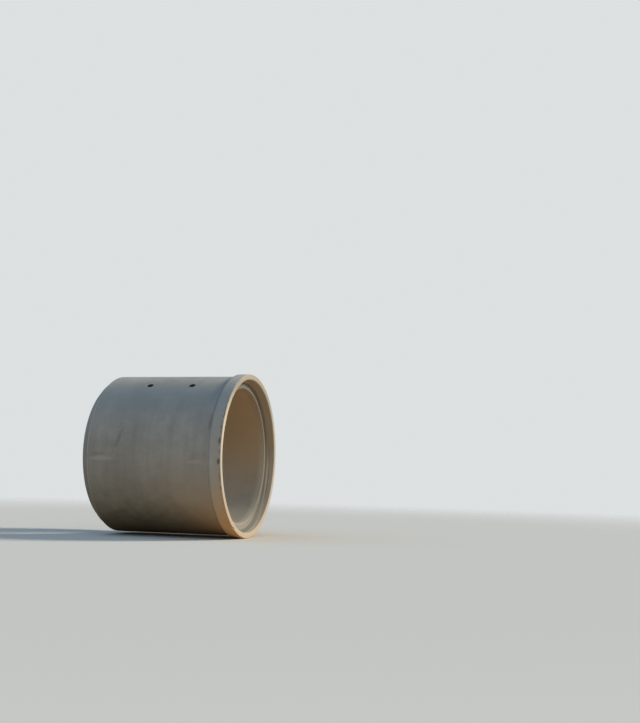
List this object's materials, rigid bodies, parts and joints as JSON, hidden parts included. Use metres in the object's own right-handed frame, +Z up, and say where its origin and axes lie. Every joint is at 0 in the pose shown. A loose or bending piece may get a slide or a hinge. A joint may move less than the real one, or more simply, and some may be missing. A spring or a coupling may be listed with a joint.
{
  "type": "concrete culvert pipe",
  "caption": "Large cast concrete drain pipe lying on its side, with a stepped socket at one end, a stepped spigot at the other and lifting holes near the crown.",
  "frame": {"origin": "middle of the pipe's footprint on the floor, under its axis", "axes": "+X along the pipe's axis out of the socket end, +Z up, -Y the side that carries the lifting holes"},
  "size_m": [2.186, 2.4258, 2.4258],
  "materials": {
    "concrete": "matte cast concrete"
  },
  "bodies": {
    "root": {"pipe": "concrete"}
  },
  "joints": []
}
